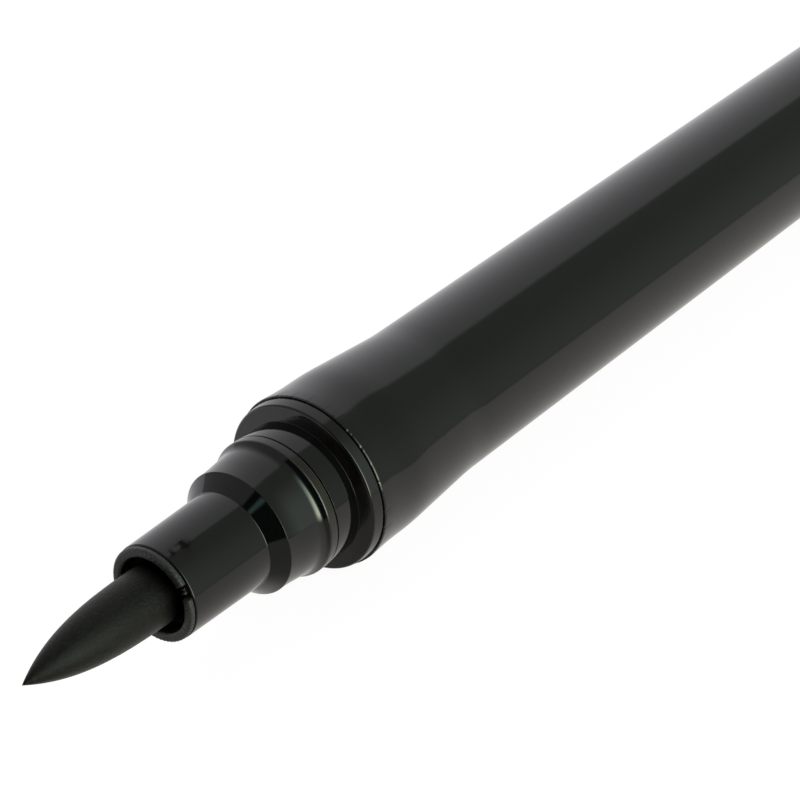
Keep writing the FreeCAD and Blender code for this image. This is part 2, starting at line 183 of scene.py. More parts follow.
@named
class NoseSizes(bpy.types.PropertyGroup):
    """Sizes of the stepped nozzle and of the base that carries it."""

    ferrule_radius: length("Radius of the slim ferrule at its mouth", 2.99)
    ferrule_draft: length("How much the ferrule's radius grows to its foot", 0.1)
    ferrule_length: length("Length of the slim ferrule", 6.0)
    shoulder_length: length("Length of the sloping shoulder", 0.86)
    shoulder_height: length("Height of the sloping shoulder", 0.84)
    step_length: length("Length of the thicker step", 2.52)
    flare_length: length("Length over which the step flares towards the bead", 1.95)
    flare_height: length("How much the step's radius grows", 0.2)
    flare_round: length("Rounding where the flare starts", 11.0)
    bead_slope: length("Length of the bead's sloping front", 0.41)
    bead_length: length("Length of the bead that holds the cap", 0.56)
    bead_height: length("Height of the bead over the step", 0.295)
    bead_root: length("Hollow rounding at the bead's root", 1.1)
    bead_crown: length("Rounding of the bead's front edge", 0.26)
    edge_round: length("Rounding of the nozzle's edges", 0.09)
    parting_round: length("Rounding beside the parting lines", 0.025)
    parting_gap: length("Width of the parting line behind the bead", 0.1)
    rim_gap: length("Width of the line between the flange and the barrel", 0.015)
    nozzle_wall: length("Wall of the ferrule at its mouth", 0.38)
    plug_wall: length("Wall of the nozzle's plug in the base", 0.65)
    plug_length: length("Length of the nozzle's plug in the base", 5.5)
    sleeve_depth: length("Depth of the sleeve's seat in the nozzle", 7.0)
    feed_radius: length("Radius of the bore behind the sleeve's seat", 2.27)
    collar_drop: length("How far the collar lies under the bead", 0.02)
    collar_length: length("Length of the collar in front of the flange", 1.92)
    flange_width: length("Height of the flange over the collar", 0.95)
    flange_length: length("Thickness of the flange", 0.98)
    flange_rake: length("How far the flange's face leans back at its rim", 0.16)
    flange_round: length("Rounding of the flange's front rim", 0.16)
    rim_round: length("Rounding of the flange's edge beside the barrel", 0.05)
    flange_flare: length("How much the flange's radius grows towards the barrel", 0.08)
    spigot_length: length("Length of the base's spigot in the barrel", 8.0)
    neck_length: length("Length of the base's neck in the tank", 3.0)
    neck_radius: length("Radius of the base's neck in the tank", 3.48)


@named
class MouthSizes(bpy.types.PropertyGroup):
    """Sizes of the sleeve in the nozzle's mouth and of the felt tip."""

    lip_proud: length("How far the lip stands out of the nozzle", 0.42)
    lip_radius: length("Outer radius of the lip", 2.94)
    lip_round: length("Rounding of the lip's edges", 0.18)
    lip_gap: length("Width of the line between the lip and the nozzle", 0.05)
    lip_wear: length("Unevenness of the lip, most of it below", 0.006)
    crumb_height: length("Height of the dried liquid in the notch", 0.4)
    crumb_width: length("Width of each crumb of dried liquid", 0.11)
    mouth_radius: length("Radius of the open mouth", 2.37)
    mouth_depth: length("Depth of the open mouth", 1.2)
    mouth_slope: length("Length of the slope down to the grip", 0.8)
    grip_radius: length("Radius of the bore that holds the tip", 1.84)
    notch_width: length("Width of the notch through the lip", 0.85)
    notch_depth: length("Depth of the notch through the lip", 0.6)
    notch_turn: angle("Angle of the notch about the pen, from the top", -62.0)
    vent_width: length("Width of each air vent along the grip", 0.5)
    vent_depth: length("Depth of each air vent along the grip", 0.35)
    vents: count("Number of air vents", 4, 1, 12)
    wall_softness: length("Width of the slope on each side of a cut", 0.1)
    tip_radius: length("Radius of the felt tip's straight body", 1.82)
    taper_length: length("Length over which the tip swells from its point", 11.15)
    taper_power: amount("How soon the tip's flank levels off", 3.337, 6.0)
    point_power: amount("How sharp the tip's point is", 1.007, 2.0)
    body_depth: length("Depth of the tip's body in the sleeve", 7.0)
    shank_radius: length("Radius of the tip's shank in the collector", 1.52)
    socket_radius: length("Radius of the wick's socket in the tip", 0.6)
    socket_depth: length("Depth of the wick's socket in the tip", 2.0)
    bend: length("How far use has bent the point aside", 0.15)
    bend_power: amount("How soon behind the point the bend starts", 0.7, 4.0)
    bend_turn: angle("Direction of the bend about the pen, from the top", 48.0)
    fuzz: length("Unevenness of the felt's flank", 0.004)
    # Length in front of the mouth over which the felt is painted black as the mouth's shade.
    mouth_shade_length: length("How far in front of the mouth the felt turns wet", 1.7)


@named
class CapSizes(bpy.types.PropertyGroup):
    """Sizes of the cap and its liner."""

    bore: length("Radius of the cap's mouth", 4.485)
    wall: length("Wall of the cap at its mouth", 0.9)
    taper: length("How much the cap's radius shrinks to its closed end", 0.45)
    land_length: length("Length of the straight part at the mouth", 6.0)
    end_wall: length("Thickness of the closed end", 1.4)
    end_round: length("Rounding of the closed end", 0.8)
    seat_depth: length("Depth of the step that the liner seats on", 10.0)
    step: length("Height of the step that the liner seats on", 0.45)
    edge_round: length("Rounding of the cap's mouth", 0.1)
    land_blend: length("Rounding where the taper starts", 60.0)
    liner_rim: length("Radius of the liner's rim over the nozzle's flare", 4.18)
    liner_seal: length("Radius of the liner's seal on the nozzle's step", 3.98)
    liner_bore: length("Radius of the liner round the ferrule", 3.25)
    liner_wall: length("Wall of the liner", 0.55)
    liner_end_wall: length("Thickness of the liner's closed end", 0.8)
    liner_end_round: length("Rounding of the liner's closed end", 0.4)
    liner_flare_length: length("Length of the flare at the liner's rim", 1.7)
    liner_seal_length: length("Length of the liner's flare and seal", 2.32)
    liner_slope: length("Length of the liner's slope inside", 0.86)
    liner_flange_length: length("Length of the liner's flange", 6.86)


@named
class Finishes(bpy.types.PropertyGroup):
    """Colours of the pen's materials."""

    gloss: colour("Glossy black plastic of the barrel, nose and cap", 0.003, 0.003, 0.0034)
    satin: colour("Satin plastic of the sleeve in the mouth", 0.018, 0.018, 0.0175)
    felt: colour("Felt soaked with black liquid", 0.0019, 0.0016, 0.0014)
    felt_light: colour("Lighter fibres in the felt", 0.0075, 0.0064, 0.0056)
    wick: colour("Fibre rod stained by the liquid", 0.03, 0.03, 0.03)
    moulding: colour("Natural plastic of the collector", 0.72, 0.72, 0.69)
    milky: colour("Plastic of the tank and the cap's liner", 0.62, 0.63, 0.62)
    plug: colour("Soft stopper of the tank", 0.35, 0.35, 0.34)
    steel: colour("Mixing ball", 0.6, 0.6, 0.6)


@named
class StageSettings(bpy.types.PropertyGroup):
    """Camera, floor and light."""

    camera_at: place("Where the camera stands", -103.882, -80.942, 95.329)
    camera_aim: place("Point in the middle of the picture", -19.395, -14.252, 22.438)
    lens: prop("Float", "Focal length", default=118.306, unit="CAMERA")
    floor_size: length("Side of the floor", 4000.0)
    white: colour("Colour of the white surroundings above", 0.97, 0.97, 1.0)
    warm_white: colour("Colour of the white surroundings below", 1.0, 0.97, 0.92)
    overhead: amount("Brightness of the white surroundings overhead", 0.7)
    behind: amount("Brightness of the white surroundings behind the pen", 0.9)
    floor_glow: amount("Share of the floor's white that the shadow leaves", 0.94)
    below: amount("Brightness of the white surroundings below", 0.7)
    front_share: amount("Share of the white that comes from in front of the tip", 0.48)
    room: colour("Dim room on the viewer's side", 0.31, 0.335, 0.30)
    window_high: colour("Pale light at the window's top", 0.68, 1.0, 0.8)
    window_low: colour("Pale light at the window's foot", 0.92, 1.0, 0.76)
    window_level: amount("Brightness of the window", 10.0, 20.0)
    window_spread: colour("Light that spreads from the window", 0.84, 1.0, 0.9)
    glint: colour("Small pale light in front of the tip", 0.45, 0.85, 0.8)
    lamp_power: amount("Watts of the soft lamp overhead", 0.7, 100.0)
    lamp_at: place("Where the soft lamp hangs", -30.0, 260.0, 620.0)
    lamp_side: length("Side of the soft lamp", 500.0)


@named
class PenSettings(bpy.types.PropertyGroup):
    """Everything that can be set on the pen."""

    sides: count("Facets round each turned piece", 256, 32, 720)
    edge_break: length("Rounding of every edge that has none of its own", 0.02)
    barrel: part(BarrelSizes)
    nose: part(NoseSizes)
    mouth: part(MouthSizes)
    cap: part(CapSizes)
    finishes: part(Finishes)
    stage: part(StageSettings)


class Signal:
    """A number in a node tree. Arithmetic on signals adds Math nodes to the same tree."""

    def __init__(self, tree, socket):
        self.tree = tree
        self.socket = socket

    def math(self, operation, first, second):
        return self.tree.node("Math", {"operation": operation}, {0: first, 1: second})

    def __add__(self, other):
        return self.math("ADD", self, other)

    def __sub__(self, other):
        return self.math("SUBTRACT", self, other)

    def __rsub__(self, other):
        return self.math("SUBTRACT", other, self)

    def __mul__(self, other):
        return self.math("MULTIPLY", self, other)

    __radd__ = __add__
    __rmul__ = __mul__

    def greatest(self, other):
        return self.math("MAXIMUM", self, other)

    def rise(self, low, high):
        """A smooth step from 0 at low to 1 at high. It falls where low is the larger."""
        limits = {"From Min": min(low, high), "From Max": max(low, high)}
        ends = {"To Min": float(low > high), "To Max": float(low < high)}
        settings = {"interpolation_type": "SMOOTHSTEP"}
        return self.tree.node("MapRange", settings, {"Value": self, **limits, **ends})


class Tree:
    """A node tree that is written as expressions."""

    def __init__(self, owner):
        owner.use_nodes = True
        self.owner = owner
        self.nodes = owner.node_tree.nodes
        self.links = owner.node_tree.links
        self.nodes.clear()

    def node(self, kind, settings=None, inputs=None, output=0):
        """Add a shader node, set it up, connect its sockets and return one of its outputs."""
        made = self.nodes.new("ShaderNode" + kind)
        for name, value in (settings or {}).items():
            setattr(made, name, value)
        for name, value in (inputs or {}).items():
            if isinstance(value, Signal):
                self.links.new(value.socket, made.inputs[name])
            else:
                made.inputs[name].default_value = value
        return Signal(self, made.outputs[output]) if made.outputs else None

    def place(self):
        return self.node("TexCoord", output="Object")

    def along(self, vector, axis="X"):
        """One part of a vector, by default the one along the pen."""
        return self.node("SeparateXYZ", None, {"Vector": vector}, axis)

    def distance(self, first, second):
        return self.node("VectorMath", {"operation": "DISTANCE"}, {0: first, 1: second}, "Value")

    def noise(self, scale, detail=2.0, vector=None):
        """Noise on object coordinates, or on another vector, with this many swells to a metre."""
        inputs = {"Vector": vector or self.place(), "Scale": scale, "Detail": detail}
        return self.node("TexNoise", None, inputs, "Fac")

    def strands(self, lengthwise, across, detail=3.0):
        """Noise with one number of swells to a metre along the pen and another across it."""
        scale = {"Scale": (lengthwise, across, across)}
        vector = self.node("Mapping", None, {"Vector": self.place(), **scale})
        return self.noise(1.0, detail, vector)

    def mix(self, factor, first, second):
        """Blend of two colours."""
        return self.node("Mix", {"data_type": "RGBA"}, {0: factor, 6: first, 7: second}, 2)

    def scaled(self, shade, level):
        """A colour times a number."""
        return self.node("VectorMath", {"operation": "SCALE"}, {0: shade, "Scale": level})

    def ray(self, kind):
        return self.node("LightPath", output=f"Is {kind} Ray")

    def matte(self, shade):
        return self.node("BsdfDiffuse", None, {"Color": shade})

    def polished(self, tint, roughness, others=None):
        inputs = {"Base Color": tint, "Roughness": roughness, **(others or {})}
        return self.node("BsdfPrincipled", None, inputs, "BSDF")

    def grained(self, tint, roughness, height, depth, others=None):
        """A Principled surface with a relief of this depth in metres."""
        relief = self.node("Bump", None, {"Height": height, "Distance": depth})
        return self.polished(tint, roughness, {"Normal": relief, **(others or {})})

    def shared(self, factor, first, second):
        """Blend of two shaders."""
        return self.node("MixShader", None, {0: factor, 1: first, 2: second})

    def finished(self, shader, output="OutputMaterial"):
        """Connect the shader to the tree's output and return what owns the tree."""
        self.node(output, None, {"Surface": shader})
        return self.owner


def opaque(shade, level=1.0):
    return (shade[0] * level, shade[1] * level, shade[2] * level, 1.0)


def grey(level):
    return (level, level, level, 1.0)


def new_material(name):
    """The tree of an empty material, made afresh."""
    old = bpy.data.materials.get(name)
    if old:
        bpy.data.materials.remove(old)
    return Tree(bpy.data.materials.new(name))


def gloss_black(name, shade, haze=0.045, waves=1.5e-6, rubbed=None, smudges=()):
    """Polished black plastic with faint mould waves and hairline scuffs. The band between the two stations
    in rubbed is worn by its share, and smudges of dried liquid lie at the given places."""
    tree = new_material(name)
    cloud = tree.noise(90.0)
    scuff = tree.strands(300.0, 5200.0).rise(0.62, 0.78)
    roughness = haze + cloud * 0.03 + scuff * 0.05
    tint = tree.mix(cloud, opaque(shade, 0.8), opaque(shade, 1.2))
    if rubbed:
        start, end, share = rubbed
        station = tree.along(tree.place())
        band = station.rise(start - RUBBED_FADE, start) * station.rise(end + RUBBED_FADE, end) * share
        lines = tree.strands(16000.0, 260.0).rise(0.3, 0.7)
        roughness = roughness + band * (0.08 + lines * 0.2)
        tint = tree.mix(band * lines, tint, opaque(RUBBED_BROWN))
    surface = tree.grained(tint, roughness, tree.noise(300.0), waves, HARD)
    if smudges:
        wobble = tree.noise(2200.0, 3.0) - 0.5
        dry = 0.0
        # Each smudge has a dense core and a faint halo, both with frayed edges.
        for spot, reach in smudges:
            away = tree.distance(tree.place(), spot) + wobble * reach * 2.2
            core = away.rise(reach, reach * 0.2) * 0.75
            halo = away.rise(reach * 2.2, reach * 0.4) * 0.2
            dry = (core + halo).greatest(dry)
        surface = tree.shared(dry, surface, tree.matte(opaque(DRIED_BLACK)))
    return tree.finished(surface)


def satin_black(name, shade):
    """Satin moulded plastic with a fine spark-eroded grain."""
    tree = new_material(name)
    grain = tree.noise(6500.0, 4.0)
    blotch = tree.noise(1500.0)
    specks = tree.noise(8000.0).rise(0.52, 0.72)
    tint = tree.mix(blotch, opaque(shade, 0.6), opaque(shade, 1.5))
    tint = tree.mix(specks, tint, opaque(SPECK_GREY))
    return tree.finished(tree.grained(tint, 0.34 + grain * 0.2, grain, 5.0e-5, HARD))


def inked_felt(name, shade, fibre_shade, soaked):
    """Dense felt soaked with liquid: a matted nap of short fibres with a wet sheen. Between the two
    stations in soaked it turns to the dead black of the wet root in the mouth."""
    tree = new_material(name)
    nap = tree.noise(7000.0, 4.0)
    soak = tree.noise(700.0)
    height = tree.strands(3000.0, 8000.0) * 0.4 + nap * 0.6
    tint = tree.mix(height.rise(0.4, 0.62), opaque(shade), opaque(fibre_shade))
    dry = tree.grained(tint, 0.4 + soak * 0.1 + nap * 0.1, height, 4.4e-5, NAP)
    # Painted shade: towards the mouth the felt blends to a black matte where the lip and the mouth shade
    # it.
    root = tree.along(tree.place()).rise(*soaked)
    return tree.finished(tree.shared(root, dry, tree.matte(opaque(shade, 0.3))))


def wick_fibre(name, shade):
    """Bundled fibre rod, darker where the liquid has soaked in."""
    tree = new_material(name)
    strand = tree.strands(250.0, 9000.0)
    tint = tree.mix(strand.rise(0.35, 0.65), opaque(shade, 0.5), opaque(shade, 2.0))
    return tree.finished(tree.grained(tint, 0.7 + strand * 0.2, strand, 3.0e-5))


def white_moulding(name, shade):
    """Natural moulded plastic, tinted where the liquid has run between the fins."""
    tree = new_material(name)
    stain = tree.strands(160.0, 420.0).rise(0.5, 0.72)
    grain = tree.noise(4000.0)
    tint = tree.mix(stain * 0.5, opaque(shade), opaque(STAIN_GREY))
    return tree.finished(tree.grained(tint, 0.35 + grain * 0.15, grain, 4.0e-6))


def milky_tube(name, shade):
    """Milky moulded plastic with flow marks along the tube."""
    tree = new_material(name)
    flow = tree.strands(60.0, 700.0, 2.0)
    grain = tree.noise(3500.0)
    tint = tree.mix(flow, opaque(shade, 0.9), opaque(shade, 1.06))
    return tree.finished(tree.grained(tint, 0.28 + flow * 0.12 + grain * 0.05, grain, 2.0e-6))


def soft_plug(name, shade):
    """Dull soft stopper with a fine bloom."""
    tree = new_material(name)
    bloom = tree.noise(1800.0, 3.0)
    tint = tree.mix(bloom, opaque(shade, 0.8), opaque(shade, 1.15))
    return tree.finished(tree.grained(tint, 0.6 + bloom * 0.25, bloom, 8.0e-6))


def bright_steel(name, shade):
    """Polished ball with hairline tumbling marks, wet with dark liquid in places."""
    tree = new_material(name)
    mark = tree.noise(6000.0, 3.0).rise(0.55, 0.8)
    wet = tree.noise(500.0).rise(0.52, 0.66)
    tint = tree.mix(wet * 0.6, opaque(shade), opaque(WET_BLACK))
    return tree.finished(tree.polished(tint, 0.12 + mark * 0.15, {"Metallic": 1.0 - wet * 0.3}))


def rounded(corners, closed, edge_break):
    """Points along a half section whose corners are rounded by tangent arcs.

    A corner is (station, radius[, rounding]). With rounding q and turn w the arc starts q tan(w / 2)
    before the corner and ends as far behind it. Two more points guard each arc on its straight runs, so
    that smooth shading stays off them. An open section starts and ends on the axis, and is mirrored there.
    """
    spots = np.array([corner[:2] for corner in corners], float)
    rounding = np.array([corner[2:] or (edge_break,) for corner in corners], float)
    before = np.roll(spots, 1, axis=0)
    after = np.roll(spots, -1, axis=0)
    if not closed:
        before[0] = spots[1] * (1, -1)
        after[-1] = spots[-2] * (1, -1)
        rounding[[0, -1]] = 0.0
    run_in = spots - before
    run_out = after - spots
    length_in = np.linalg.norm(run_in, axis=1, keepdims=True)
    length_out = np.linalg.norm(run_out, axis=1, keepdims=True)
    run_in /= length_in
    run_out /= length_out
    cross = run_in[:, :1] * run_out[:, 1:] - run_in[:, 1:] * run_out[:, :1]
    turn = np.arctan2(cross, np.sum(run_in * run_out, axis=1, keepdims=True))
    reach = rounding * np.tan(np.abs(turn) / 2)
    start = spots - run_in * reach
    end = spots + run_out * reach
    inward = np.stack([-run_in[:, 1], run_in[:, 0]], axis=1) * np.sign(turn)
    centre = start + inward * rounding
    swing = turn * np.linspace(0, 1, ARC_STEPS + 1)
    arm = (start - centre)[:, None, :]
    arcs = np.stack(
        [
            arm[..., 0] * np.cos(swing) - arm[..., 1] * np.sin(swing),
            arm[..., 0] * np.sin(swing) + arm[..., 1] * np.cos(swing),
        ],
        axis=2,
    ) + centre[:, None, :]
    guard = 2 * edge_break
    guard_in = start - run_in * np.minimum(guard, (length_in - reach) / 4)
    guard_out = end + run_out * np.minimum(guard, (length_out - reach) / 4)
    points = np.concatenate([guard_in[:, None], arcs, guard_out[:, None]], axis=1).reshape(-1, 2)
    if not closed:
        points = points[points[:, 1] > -SAME_POINT]
    step = np.linalg.norm(points - np.roll(points, 1, axis=0), axis=1)
    return points[step > SAME_POINT] if closed else points[np.r_[True, step[1:] > SAME_POINT]]


def turned_mesh(name, stations, radii, angles, closed, shift=0.0, shift_turn=0.0):
    """A surface of two parameters, the row u along a half section and the angle a about the pen.

    P(u, a) = (x(u, a), r(u, a) sin a, h + r(u, a) cos a), with the axis at height h, moved aside by
    shift(u) in the direction shift_turn. A closed section joins its last row to its first. An open one
    has a pole at each end, where its whole row is one point.
    """
    rows, sides = radii.shape
    shift = np.broadcast_to(np.asarray(shift, float), (rows,))[:, None]
    across = radii * np.sin(angles) + shift * math.sin(shift_turn)
    up = AXIS_HEIGHT + radii * np.cos(angles) + shift * math.cos(shift_turn)
    points = np.stack([stations, across, up], axis=2)
    index = np.arange(rows * sides).reshape(rows, sides)
    if closed:
        vertices = points.reshape(-1, 3)
        rings = np.concatenate([index, index[:1]])
    else:
        vertices = np.concatenate([points[0, :1], points[1:-1].reshape(-1, 3), points[-1, :1]])
        rings = index[:-2] + 1
    ahead = np.roll(rings, -1, axis=1)
    faces = np.stack([rings[:-1], rings[1:], ahead[1:], ahead[:-1]], axis=2).reshape(-1, 4).tolist()
    if not closed:
        front = np.zeros(sides, int)
        back = np.full(sides, len(vertices) - 1)
        faces += np.stack([front, rings[0], ahead[0]], axis=1).tolist()
        faces += np.stack([rings[-1], back, ahead[-1]], axis=1).tolist()
    mesh = bpy.data.meshes.new(name)
    mesh.from_pydata(vertices.tolist(), [], faces)
    mesh.polygons.foreach_set("use_smooth", np.ones(len(mesh.polygons), bool))
    mesh.validate()
    mesh.update()
    return mesh


def turn_angles(sides):
    """Equal steps of a full turn, 2 pi i / sides, from the top."""
    return np.arange(sides) * (TURN / sides)


def beats(angles, waves, starts):
    """Product of two sines of the angle, sin(m a + s) sin(n a + t), whose peaks come unevenly."""
    return np.sin(waves[0] * angles + starts[0]) * np.sin(waves[1] * angles + starts[1])


def spread(section, sides):
    """A section's stations and radii as two grids, the same at every angle."""
    grid = np.ones((1, sides))
    return section[:, :1] * grid, section[:, 1:] * grid


def window(angles, middle, width, radius, softness):
    """1 within an arc of this width at this radius, 0 outside it, with a soft slope between."""
    away = np.abs((angles - middle + math.pi) % TURN - math.pi) * radius
    rise = np.clip((width / 2 + softness / 2 - away) / softness, 0, 1)
    return rise * rise * (3 - 2 * rise)


def add_object(name, data):
    """A new object in the scene."""
    made = bpy.data.objects.new(name, data)
    bpy.context.scene.collection.objects.link(made)
    return made


def add_piece(name, mesh, material, body, node):
    """Put a mesh in the scene in place of a node, on the body that carries it."""
    old = bpy.data.objects.get(name)
    if old:
        bpy.data.objects.remove(old)
    mesh.materials.append(material)
    piece = add_object(name, mesh)
    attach(piece, body)
    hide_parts(node)
    return piece


def section_of(pen, node, corners, closed=True):
    """A rounded section whose corners count from the front end of a node, moved to that node's place."""
    section = rounded(corners, closed, pen.edge_break)
    return section + (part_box(node)[0].x, 0.0)


def add_turned(pen, name, node, corners, material, body, closed=True):
    """A plain turned piece in place of a node."""
    section = section_of(pen, node, corners, closed)
    stations, radii = spread(section, pen.sides)
    mesh = turned_mesh(name, stations, radii, turn_angles(pen.sides), closed)
    return add_piece(name, mesh, material, body, node)


def bead_radius(nose):
    """The ferrule's radius plus every rise between its mouth and the bead's crown."""
    step = nose.ferrule_radius + nose.ferrule_draft + nose.shoulder_height
    return step + nose.flare_height + nose.bead_height


class LINER_OT_barrel(bpy.types.Operator):
    """Turn the flared barrel and the plug in its tail"""

    bl_idname = "liner.barrel"
    bl_label = "Barrel and Tail"

    def execute(self, context):
        pen = context.scene.eyeliner_pen
        size = pen.barrel
        finish = gloss_black("barrel_gloss", pen.finishes.gloss, haze=0.08, waves=7.0e-6)
        self.add_barrel(pen, size, finish)
        self.add_tail(pen, size, finish)
        return {"FINISHED"}

    def add_barrel(self, pen, size, finish):
        """Peaks of a sum of beats of the angle nick the front edge, and fade out behind it."""
        bore = size.radius - size.wall
        front = size.radius + size.front_flare
        rim = BARREL_HIGH.z - AXIS_HEIGHT
        barrel_length = BARREL_HIGH.x - BARREL_LOW.x
        corners = [
            (0, bore),
            (0, rim - size.bevel_drop, size.bevel_drop),
            (size.bevel_length, rim, size.edge_round),
            (size.rim_length, front, size.rim_blend),
            (size.front_length, front, size.taper_round),
            (size.front_length + size.taper_length, size.radius, size.taper_round),
            (barrel_length, size.radius, size.edge_round),
            (barrel_length, bore),
        ]
        section = section_of(pen, "barrel", corners)
        sides = 2 * pen.sides
        stations, radii = spread(section, sides)
        angles = turn_angles(sides)
        waver = beats(angles, NICK_WAVES, (0, 1)) + CHIP_SHARE * beats(angles, CHIP_WAVES, (2, 0))
        fade = np.clip(1 - (stations - BARREL_LOW.x) / (2 * size.bevel_length), 0, 1)
        outside = np.clip((radii - front) / (rim - front), 0, 1)
        radii = radii - size.rim_nick * np.maximum(waver, 0) ** 2 * fade * outside
        mesh = turned_mesh("barrel_shell", stations, radii, angles, True)
        add_piece("barrel_shell", mesh, finish, "pen", "barrel")

    def add_tail(self, pen, size, finish):
        """Turned section: a hollow spigot in the barrel's bore, and a flat end as thick as the barrel."""
        low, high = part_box("tail_cap")
        spigot = size.radius - size.wall - size.press_gap
        inside = spigot - size.tail_wall
        back = high.x - low.x
        corners = [
            (size.spigot_length, 0),
            (size.spigot_length, inside),
            (0, inside),
            (0, spigot),
            (size.spigot_length, spigot),
            (size.spigot_length, size.radius, size.edge_round),
            (back, size.radius, size.tail_round),
            (back, 0),
        ]
        add_turned(pen, "tail_plug", "tail_cap", corners, finish, "pen", closed=False)


class LINER_OT_nose(bpy.types.Operator):
    """Turn the stepped nozzle and the base with its collar and flange"""

    bl_idname = "liner.nose"
    bl_label = "Nozzle and Base"

    def execute(self, context):
        pen = context.scene.eyeliner_pen
        self.add_nozzle(pen, pen.nose)
        self.add_base(pen, pen.nose)
        return {"FINISHED"}

    def add_nozzle(self, pen, nose):
        """Turned section, each radius the last one plus its rise: ferrule, shoulder, flared step and bead,
        the plug in the base behind them, and the sleeve's seat and the feed inside."""
        foot = nose.ferrule_radius + nose.ferrule_draft
        step = foot + nose.shoulder_height
        bead = bead_radius(nose)
        bore = nose.ferrule_radius - nose.nozzle_wall
        plug = nose.feed_radius + nose.plug_wall
        shoulder_back = nose.ferrule_length + nose.shoulder_length
        bead_foot = shoulder_back + nose.step_length
        bead_front = bead_foot + nose.bead_slope
        bead_back = bead_front + nose.bead_length
        plug_back = bead_back + nose.plug_length
        corners = [
            (0, bore),
            (0, nose.ferrule_radius, nose.edge_round),
            (nose.ferrule_length, foot, nose.edge_round),
            (shoulder_back, step, nose.edge_round),
            (bead_foot - nose.flare_length, step, nose.flare_round),
            (bead_foot, step + nose.flare_height, nose.bead_root),
            (bead_front, bead, nose.bead_crown),
            (bead_back, bead, nose.parting_round),
            (bead_back, plug),
            (plug_back, plug),
            (plug_back, nose.feed_radius),
            (nose.sleeve_depth, nose.feed_radius),
            (nose.sleeve_depth, bore),
        ]
        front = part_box("nozzle")[0].x
        smudges = [
            (self.on_ferrule(front, nose, station * MM, math.radians(turn)), reach * MM)
            for station, turn, reach in SMUDGES
        ]
        rubbed = (front + bead_front, front + bead_back, 1.0)
        finish = gloss_black("nozzle_gloss", pen.finishes.gloss, rubbed=rubbed, smudges=smudges)
        add_turned(pen, "nozzle_shell", "nozzle", corners, finish, "pen")

    def on_ferrule(self, front, nose, station, turn):
        """A point on the ferrule, at a distance from its mouth and an angle from the top."""
        radius = nose.ferrule_radius
        return (front + station, radius * math.sin(turn), AXIS_HEIGHT + radius * math.cos(turn))

    def add_base(self, pen, nose):
        """Turned section: collar, flange, spigot and neck, with the plug's socket and the feed inside."""
        barrel = pen.barrel
        collar = bead_radius(nose) - nose.collar_drop
        flange = collar + nose.flange_width
        socket = nose.feed_radius + nose.plug_wall + barrel.press_gap
        spigot = barrel.radius - barrel.wall - barrel.press_gap
        flange_back = nose.collar_length + nose.flange_length
        rim_back = flange_back - nose.rim_gap
        spigot_back = flange_back + nose.spigot_length
        neck_back = spigot_back + nose.neck_length
        corners = [
            (nose.parting_gap, socket),
            (nose.parting_gap, collar, nose.parting_round),
            (nose.collar_length, collar),
            (nose.collar_length + nose.flange_rake, flange, nose.flange_round),
            (rim_back, flange + nose.flange_flare, nose.rim_round),
            (rim_back, spigot),
            (spigot_back, spigot),
            (spigot_back, nose.neck_radius),
            (neck_back, nose.neck_radius),
            (neck_back, nose.feed_radius),
            (nose.plug_length, nose.feed_radius),
            (nose.plug_length, socket),
        ]
        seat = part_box("nose_base")[0].x + nose.collar_length
        rubbed = (seat, seat + nose.flange_rake, FLANGE_RUB)
        finish = gloss_black("base_gloss", pen.finishes.gloss, rubbed=rubbed)
        add_turned(pen, "base_shell", "nose_base", corners, finish, "pen")


class LINER_OT_sleeve(bpy.types.Operator):
    """Shape the sleeve in the mouth, with its notched lip and its vents"""

    bl_idname = "liner.sleeve"
    bl_label = "Mouth Sleeve"

    def execute(self, context):
        pen = context.scene.eyeliner_pen
        size = pen.mouth
        low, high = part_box("tip_sleeve")
        tube = pen.nose.ferrule_radius - pen.nose.nozzle_wall - pen.barrel.press_gap
        back = high.x - low.x
        slope_back = size.mouth_depth + size.mouth_slope
        corners = [
            (0, size.mouth_radius, size.lip_round),
            (0, size.lip_radius, size.lip_round),
            (size.lip_proud - size.lip_gap, size.lip_radius, size.lip_gap),
            (size.lip_proud - size.lip_gap, tube),
            (back, tube),
            (back, size.grip_radius),
            (slope_back, size.grip_radius),
            (size.mouth_depth, size.mouth_radius),
        ]
        section = section_of(pen, "tip_sleeve", corners)
        mesh = self.cut(pen, size, section, low.x, tube)
        finish = satin_black("sleeve_satin", pen.finishes.satin)
        add_piece("mouth_sleeve", mesh, finish, "pen", "tip_sleeve")
        return {"FINISHED"}

    def cut(self, pen, size, section, front, tube):
        """The lip's radius is uneven by beats of the angle that shift with the station. Within the notch's
        arc the lip is pushed back to the notch's floor and in to the tube's radius. Crumbs of dried liquid,
        Gaussian in the angle, stand on that floor. Within each vent's arc the grip's bore is pushed out to
        the vent's floor."""
        sides = 2 * pen.sides
        angles = turn_angles(sides)
        stations, radii = spread(section, sides)
        uneven = beats(angles, LIP_WAVES, (2, (stations - front) / size.lip_round))
        worn = size.lip_wear * (1 + LIP_WEAR_BELOW * np.clip(-np.cos(angles), 0, 1))
        radii = radii + worn * uneven * (radii > tube + size.lip_gap)
        notch = window(angles, size.notch_turn, size.notch_width, size.lip_radius, size.wall_softness)
        across = (angles - TURN - size.notch_turn) * tube
        crumbs = sum(
            share * np.exp(-(((across - middle * MM) / size.crumb_width) ** 2)) for middle, share in CRUMBS
        )
        floor = front + size.notch_depth - size.crumb_height * crumbs
        stations = stations + (np.maximum(stations, floor) - stations) * notch
        radii = radii + (np.minimum(radii, tube) - radii) * notch
        vents = sum(
            window(angles, turn, size.vent_width, size.grip_radius, size.wall_softness)
            for turn in turn_angles(size.vents)
        )
        vent_floor = size.grip_radius + size.vent_depth
        inside = radii < tube - SAME_POINT
        radii = radii + np.where(inside, np.maximum(radii, vent_floor) - radii, 0) * vents
        return turned_mesh("mouth_sleeve", stations, radii, angles, True)


